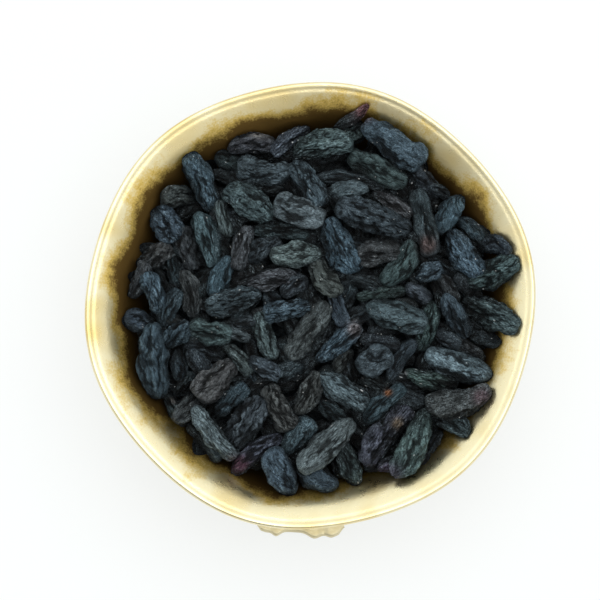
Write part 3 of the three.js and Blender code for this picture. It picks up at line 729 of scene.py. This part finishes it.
def bowl_piece(material):
    """The whole sheet of the bowl: inner wall, rolled lip and outer wall, pressed to its soft sides."""
    inside = wall_inside()
    rim = spline([(radius, RIM_HEIGHT - depth, 0) for radius, depth in RIM], RIM_STEPS)
    line = [point for point in inside if point.x < rim[0].x - 0.3] + rim
    line += [point for point in reversed(wall_outside()) if point.x < rim[-1].x - 0.5]
    bm = bmesh.new()
    verts = [bm.verts.new((point.x, 0, point.y)) for point in line]
    edges = [bm.edges.new(pair) for pair in zip(verts, verts[1:])]
    bmesh.ops.spin(bm, geom=verts + edges, cent=(0, 0, 0), axis=(0, 0, 1), dvec=(0, 0, 0),
                   angle=2 * math.pi, steps=BOWL_COLUMNS, use_merge=True)
    bmesh.ops.remove_doubles(bm, verts=bm.verts, dist=1e-4)
    places = np.array([vert.co for vert in bm.verts])
    radius = np.hypot(places[:, 0], places[:, 1])
    wave = side_wave(radius, np.arctan2(places[:, 1], places[:, 0]))
    middle = [(point.y, point.x + WALL / 2) for point in inside]
    inward = radius < np.interp(places[:, 2], *zip(*middle))
    for vert, factor in zip(bm.verts, wave):
        uneven = WIDE_WAVE * noise.noise(vert.co * 0.05) + NARROW_WAVE * noise.noise(vert.co * 0.12)
        calm = min(max((RIM_HEIGHT - CALM_BELOW_RIM - vert.co.z) / 3, 0.08), 1)
        uneven *= min(math.hypot(vert.co.x, vert.co.y) / 30, 1) * calm
        vert.co.x *= factor
        vert.co.y *= factor
        outward = Vector((vert.co.x, vert.co.y, 0)).normalized()
        vert.co = (vert.co + outward * (uneven - INSET) + AXIS) * MM
    piece = finish_piece("bowl_sheet", bm, "bowl", material)
    cover = np.where(inward, 1, OUTSIDE_COVER).astype(np.float32)
    piece.data.attributes.new("cover", "FLOAT", "POINT").data.foreach_set("value", cover)


# Feet

# The middle of a leaf from the lip to the toe as radius and height, and its widths along that line.
FOOT_LINE = [
    (57, 41.5), (58.2, 36), (59, 29), (59.8, 21.5), (61.6, 13), (64.8, 5.4), (69.4, 1), (76, 0.9),
]
FOOT_WIDTHS = (3, 10, 15, 15, 13, 16, 25, 30)
FOOT_THICKNESS = 2.6
FOOT_DIRECTIONS = {"foot_front": -92.6, "foot_back_right": 27.4, "foot_back_left": 147.4}
TOE_REACH = 72.75
# Lobes of the toe: place, height, spread. The flutes of its face below are written the same way.
LOBES = ((-11.2, 0.4, 1.2), (-7.9, 1.6, 1.8), (5, 1.8, 2.7), (10.6, 1.2, 2))
# Rounded corners of the toe: where they begin and end across it, and how much they take off.
TOE_CORNER = (12.8, 15.2, 2.4)
FLUTE_DEPTH = 0.9
FLUTES = ((-10.4, 0.8, 1.3), (-1.6, 1, 3), (8.2, 0.9, 1.6))
LEAF_CURL = 1.8
# Midrib: height and width. Side veins: height, how closely they follow each other, and slant.
MIDRIB = (0.5, 0.7)
VEIN_HEIGHT = 0.28
VEIN_TURNS = 38
VEIN_SLANT = 0.55
# Faces across and along a foot, and steps between the points of its line.
FOOT_FACES = (76, 54)
FOOT_STEPS = 12
# Least distance from the bowl's wall, and how much more of it the face of the leaf keeps.
STAND_OFF = 0.35
FACE_OFF = 0.7


def step(x, start, end):
    """0 before the start and 1 after the end, with a smooth rise between them."""
    t = min(max((x - start) / (end - start), 0), 1)
    return t * t * (3 - 2 * t)


def bumps(rows, across):
    """Height of a row of rounded bumps at a place across the toe."""
    return sum(height * math.exp(-((across - middle) / spread) ** 2) for middle, height, spread in rows)


def toe_end(across):
    """How far out the toe reaches at a place across it."""
    corner = TOE_CORNER[2] * step(abs(across), TOE_CORNER[0], TOE_CORNER[1])
    return TOE_REACH + bumps(LOBES, across) - corner


def width_at(along):
    """Width of the leaf at a share of its length."""
    where = along * (len(FOOT_WIDTHS) - 1)
    i = min(int(where), len(FOOT_WIDTHS) - 2)
    return FOOT_WIDTHS[i] + (FOOT_WIDTHS[i + 1] - FOOT_WIDTHS[i]) * step(where - i, 0, 1)


def foot_piece(node, direction, line, material):
    """One leaf foot with a rounded edge, a midrib and side veins over the flutes."""
    bm = bmesh.new()
    bmesh.ops.create_grid(bm, x_segments=FOOT_FACES[0], y_segments=FOOT_FACES[1], size=0.5)
    top = bmesh.ops.extrude_face_region(bm, geom=bm.faces[:])["geom"]
    raised = {item for item in top if isinstance(item, bmesh.types.BMVert)}
    turn = Matrix.Rotation(math.radians(direction), 3, "Z")
    last = len(line) - 1
    for vert in bm.verts:
        across, along = vert.co.x, vert.co.y + 0.5
        at_toe = across * FOOT_WIDTHS[-1]
        where = along * last
        i = min(int(where), last - 1)
        point = line[i].lerp(line[i + 1], where - i)
        tangent = (line[i + 1] - line[i]).normalized()
        toe = step(along, 0.7, 1)
        lobes = toe * (toe_end(at_toe) - FOOT_LINE[-1][0])
        curl = LEAF_CURL * (1 - toe) * (2 * across) ** 2
        depth = FLUTE_DEPTH * bumps(FLUTES, at_toe) * step(along, 0.1, 0.6)
        edge = 1 - (2 * abs(across)) ** 8
        edge *= 1 - step(along, 0.975, 1) ** 2
        lift = -FOOT_THICKNESS / 2
        if vert in raised:
            rib = MIDRIB[0] * math.exp(-(across * width_at(along) / MIDRIB[1]) ** 2)
            rib *= 1 - step(along, 0.55, 0.8)
            vein = math.sin(VEIN_TURNS * (along + VEIN_SLANT * abs(across))) ** 6
            vein *= VEIN_HEIGHT * step(abs(across), 0.04, 0.16)
            vein *= (1 - step(along, 0.5, 0.75)) * step(along, 0.04, 0.15)
            lift += (FOOT_THICKNESS - depth) * max(edge, 0) ** 0.45 - 0.3 + rib + vein
        out = point.x + lobes - curl - tangent.y * lift
        up = max(point.y + tangent.x * lift, 0)
        vert.co = turn @ Vector((out, across * width_at(along), up))
    stand_off = outer_wall([vert.co for vert in bm.verts])
    for vert, least in zip(bm.verts, stand_off):
        radius = math.hypot(vert.co.x, vert.co.y)
        least += STAND_OFF + (FACE_OFF if vert in raised else 0)
        if radius < least:
            vert.co.x *= least / radius
            vert.co.y *= least / radius
        vert.co = (vert.co + AXIS) * MM
    return finish_piece(node + "_leaf", bm, node, material)


def outer_wall(points):
    """Radius of the bowl's outer wall at the height and angle of each point."""
    wall = wall_outside()
    z = np.array([point.z for point in points])
    angle = np.array([math.atan2(point.y, point.x) for point in points])
    radius = np.interp(z, [point.y for point in wall], [point.x for point in wall], left=0)
    return radius * side_wave(radius, angle)


# Making the pieces

# Brass: bright, golden and brown colour, the brown partly tarnish and partly painted reflection; roughness of
# clean metal and of the band; grain and its bump in metres.
SHEET_COLOURS = ((0.88, 0.785, 0.51), (0.72, 0.51, 0.14), (0.17, 0.1, 0.028))
SHEET_ROUGHNESS = (0.25, 0.48)
SHEET_GRAIN = 1700
SHEET_BUMP = 0.00007
CAST_COLOURS = ((0.78, 0.7, 0.47), (0.66, 0.57, 0.35), (0.5, 0.42, 0.25))
CAST_ROUGHNESS = (0.5, 0.7)
CAST_GRAIN = 700
CAST_BUMP = 0.0002
# Heights between which the stain and the painted reflection inside the bowl fade out, in metres.
TARNISH_AND_REFLECTION_BAND = (0.041, 0.0464)
# Each layer of raisins: faces around and along one, and its painted shade: lower layers darker, the top one
# lighter.
LOW_DETAIL, LOW_SHADE = (64, 26), 0.5
MIDDLE_DETAIL, MIDDLE_SHADE = (80, 32), 0.8
TOP_DETAIL, TOP_SHADE = (96, 40), 1.2
UNDER_DETAIL, UNDER_SHADE = (32, 14), 0.3
# Covered raisins are laid a little larger than they show.
LOW_GROWTH = 1.1
MIDDLE_GROWTH = 1.05
# Raisins in the first piece of a layer that is made as two.
FIRST_PIECE = 21
# Raisins in the gaps: their grid, how far from the middle they go, and their clearance of the wall.
UNDER_REACH = 7
UNDER_COLUMN = 9.2
UNDER_ROW = 8
UNDER_SHIFT = 1.4
UNDER_DEPTH = 1.2
UNDER_RADIUS = 60
UNDER_CLEARANCE = 2.6
# The core of the heap: radius, depth under the raisins that show, depth of its bottom under the rim, height of its
# lower half, clearance.
CORE_RADIUS = 51
CORE_UNDER = 4.5
CORE_BOTTOM = 30
CORE_RISE = 12
CORE_CLEARANCE = 0.8


def lay_all(rows, growth=1):
    """Lays one layer of raisins in the order of its rows."""
    return [(lay(x, y, heading, length * growth, width * growth), tone)
            for x, y, heading, length, width, tone in rows]


raisin_skin = raisin_material()
patina_and_reflection = brass_patina_and_reflection()
sheet = brass_material("brass_sheet", patina_and_reflection, SHEET_COLOURS, SHEET_ROUGHNESS, SHEET_GRAIN, SHEET_BUMP, TARNISH_AND_REFLECTION_BAND)
cast = brass_material("brass_cast", patina_and_reflection, CAST_COLOURS, CAST_ROUGHNESS, CAST_GRAIN, CAST_BUMP)

bowl_piece(sheet)
foot_line = spline([(*point, 0) for point in FOOT_LINE], FOOT_STEPS)
for node, direction in FOOT_DIRECTIONS.items():
    foot_piece(node, direction, foot_line, cast)

low_layer = lay_all(LOW_RAISINS, LOW_GROWTH)
middle_layer = lay_all(MIDDLE_RAISINS, MIDDLE_GROWTH)
top_layer = lay_all(TOP_RAISINS)
spread = np.ones(2 * DEEP_SPREAD + 1) / (2 * DEEP_SPREAD + 1)
heap_mean = np.apply_along_axis(np.convolve, 0, pile_map, spread, "same")
heap_mean = np.apply_along_axis(np.convolve, 1, heap_mean, spread, "same")

raisin_piece("raisins_low", low_layer, LOW_DETAIL, LOW_SHADE, raisin_skin)
raisin_piece("raisins_middle_1", middle_layer[:FIRST_PIECE], MIDDLE_DETAIL, MIDDLE_SHADE, raisin_skin)
raisin_piece("raisins_middle_2", middle_layer[FIRST_PIECE:], MIDDLE_DETAIL, MIDDLE_SHADE, raisin_skin)
raisin_piece("raisins_top_1", top_layer[:FIRST_PIECE], TOP_DETAIL, TOP_SHADE, raisin_skin)
raisin_piece("raisins_top_2", top_layer[FIRST_PIECE:], TOP_DETAIL, TOP_SHADE, raisin_skin)

# Raisins that show only through the gaps between the others
under = []
for row in range(-UNDER_REACH, UNDER_REACH + 1):
    for column in range(-UNDER_REACH, UNDER_REACH + 1):
        x = (column + (row % 2) / 2) * UNDER_COLUMN + shape.uniform(-UNDER_SHIFT, UNDER_SHIFT)
        y = row * UNDER_ROW + shape.uniform(-UNDER_SHIFT, UNDER_SHIFT)
        z = heap_surface(x, y) - CORE_DEPTH - UNDER_DEPTH + shape.uniform(-1, 0.4)
        if math.hypot(x, y) > UNDER_RADIUS or wall_height(x, y) > z - UNDER_CLEARANCE:
            continue
        heading, pitch = shape.uniform(0, math.pi), shape.uniform(-0.35, 0.35)
        level = math.cos(pitch)
        along = Vector((math.cos(heading) * level, math.sin(heading) * level, math.sin(pitch)))
        wide = Vector((-math.sin(heading), math.cos(heading), 0))
        halves = (shape.uniform(6.5, 8.5), shape.uniform(3.6, 4.4), shape.uniform(3, 3.6))
        laid = (Vector((x, y, z)), (along, wide, along.cross(wide)), halves, shape.uniform(*TAPER_RANGE))
        under.append((laid, shape.choice(("dark", "dark", "blue", "brown", "grey"))))
raisin_piece("raisins_under", under, UNDER_DETAIL, UNDER_SHADE, raisin_skin)


def heap_core():
    """The inside of the heap, under every raisin that shows, painted in the near-black shade of the creases."""
    bm = bmesh.new()
    bmesh.ops.create_uvsphere(bm, u_segments=64, v_segments=24, radius=1)
    for vert in bm.verts:
        x, y = vert.co.x * CORE_RADIUS, vert.co.y * CORE_RADIUS
        if vert.co.z > 0:
            z = heap_surface(x, y) - CORE_DEPTH - CORE_UNDER
        else:
            z = RIM_HEIGHT - CORE_BOTTOM + CORE_RISE * (1 + vert.co.z)
        z += 0.8 * noise.noise(Vector((x, y, 0)) * 0.2)
        z = max(z, float(wall_height(x, y)) + CORE_CLEARANCE)
        vert.co = (Vector((x, y, z)) + AXIS) * MM
    piece = finish_piece("raisins_core", bm, "raisins", raisin_skin)
    count = len(piece.data.vertices)
    # A fold of zero paints the whole core in the creases' painted shade.
    piece.data.attributes.new("fold", "FLOAT", "POINT").data.foreach_set("value", np.zeros(count, np.float32))
    skin = np.array([vertex.co[:] for vertex in piece.data.vertices], np.float32) / MM
    piece.data.attributes.new("skin", "FLOAT_VECTOR", "POINT").data.foreach_set("vector", skin.ravel())
    tint = np.tile(np.array((*linear(*TONES["dark"]), 1), np.float32), count)
    piece.data.attributes.new("tint", "FLOAT_COLOR", "POINT").data.foreach_set("color", tint)


heap_core()

# Floor, light and camera

# Metres, watts and millimetres of lens.
FLOOR_SIZE = 4
LAMP_SIZE = 1.8
LAMP_POWER = 8.6
LAMP_PLACE = (0.15, 0.15, 1.3)
CAMERA_LEAN = math.radians(6)
CAMERA_DISTANCE = 0.5
CAMERA_LENS = 96.8
AIM_ASIDE = -0.0032
AIM_UP = 0.0006
FLOOR_COLOUR = (0.3, 0.305, 0.305, 1)
FLOOR_GLOW = (0.98, 1, 1, 1)
ROOM_COLOUR = (0.97, 1, 1, 1)
# Directions of the bright back of the room and of its dark corner.
BRIGHT_SIDE = (-0.05, 0.9, 0.35)
DARK_CORNER = (-0.42, -0.81, 0.42)


def floor_piece():
    """A plain pale floor."""
    bm = bmesh.new()
    bmesh.ops.create_grid(bm, x_segments=1, y_segments=1, size=FLOOR_SIZE)
    mesh = bpy.data.meshes.new("floor")
    bm.to_mesh(mesh)
    bm.free()
    material, tree, shader = new_material("floor")
    shader.inputs["Base Color"].default_value = FLOOR_COLOUR
    shader.inputs["Roughness"].default_value = 0.8
    shader.inputs["Emission Color"].default_value = FLOOR_GLOW
    shader.inputs["Emission Strength"].default_value = 0.62
    mesh.materials.append(material)
    made = bpy.data.objects.new("floor", mesh)
    bpy.context.scene.collection.objects.link(made)


def studio(scene):
    """A bright room, brightest at the back and darkest at the front left, with a wide soft light overhead."""
    world = bpy.data.worlds.new("studio")
    scene.world = world
    world.use_nodes = True
    tree = world.node_tree
    facing = put(tree, "ShaderNodeTexCoord").outputs["Generated"]
    side = put(tree, "ShaderNodeVectorMath", {0: facing, 1: BRIGHT_SIDE}, operation="DOT_PRODUCT")
    level = map_range(tree, side.outputs["Value"], -0.2, 0.85, 0.9, 1.17)
    height = put(tree, "ShaderNodeSeparateXYZ", {"Vector": facing}).outputs["Z"]
    rise = map_range(tree, height, -0.05, 0.3, 0.6, 1.0)
    level = put(tree, "ShaderNodeMath", {0: level, 1: rise}, operation="MULTIPLY").outputs[0]
    corner = put(tree, "ShaderNodeVectorMath", {0: facing, 1: DARK_CORNER}, operation="DOT_PRODUCT")
    shade = map_range(tree, corner.outputs["Value"], 0.7, 0.97, 1.0, 0.4)
    level = put(tree, "ShaderNodeMath", {0: level, 1: shade}, operation="MULTIPLY").outputs[0]
    background = tree.nodes["Background"]
    background.inputs["Color"].default_value = ROOM_COLOUR
    tree.links.new(level, background.inputs["Strength"])
    light = bpy.data.lights.new("overhead", "AREA")
    light.shape = "DISK"
    light.size = LAMP_SIZE
    light.energy = LAMP_POWER
    lamp = bpy.data.objects.new("overhead", light)
    lamp.location = LAMP_PLACE
    lamp.rotation_euler = (Vector((0, 0, 0)) - lamp.location).to_track_quat("-Z", "Y").to_euler()
    scene.collection.objects.link(lamp)


def camera(scene):
    """Above the bowl, leaning a little towards the front, as the photograph was taken."""
    rim = (AXIS + Vector((0, 0, RIM_HEIGHT))) * MM
    back = Vector((0, -math.sin(CAMERA_LEAN), math.cos(CAMERA_LEAN)))
    up = Vector((0, math.cos(CAMERA_LEAN), math.sin(CAMERA_LEAN)))
    aim = rim + Vector((AIM_ASIDE, 0, 0)) + up * AIM_UP
    data = bpy.data.cameras.new("camera")
    data.sensor_width = 36
    data.lens = CAMERA_LENS
    data.clip_start, data.clip_end = 0.01, 20
    made = bpy.data.objects.new("camera", data)
    made.location = aim + back * CAMERA_DISTANCE
    made.rotation_euler = Matrix((up.cross(back), up, back)).transposed().to_euler()
    scene.collection.objects.link(made)
    scene.camera = made


scene = bpy.context.scene
floor_piece()
studio(scene)
camera(scene)
scene.view_settings.view_transform = "Standard"
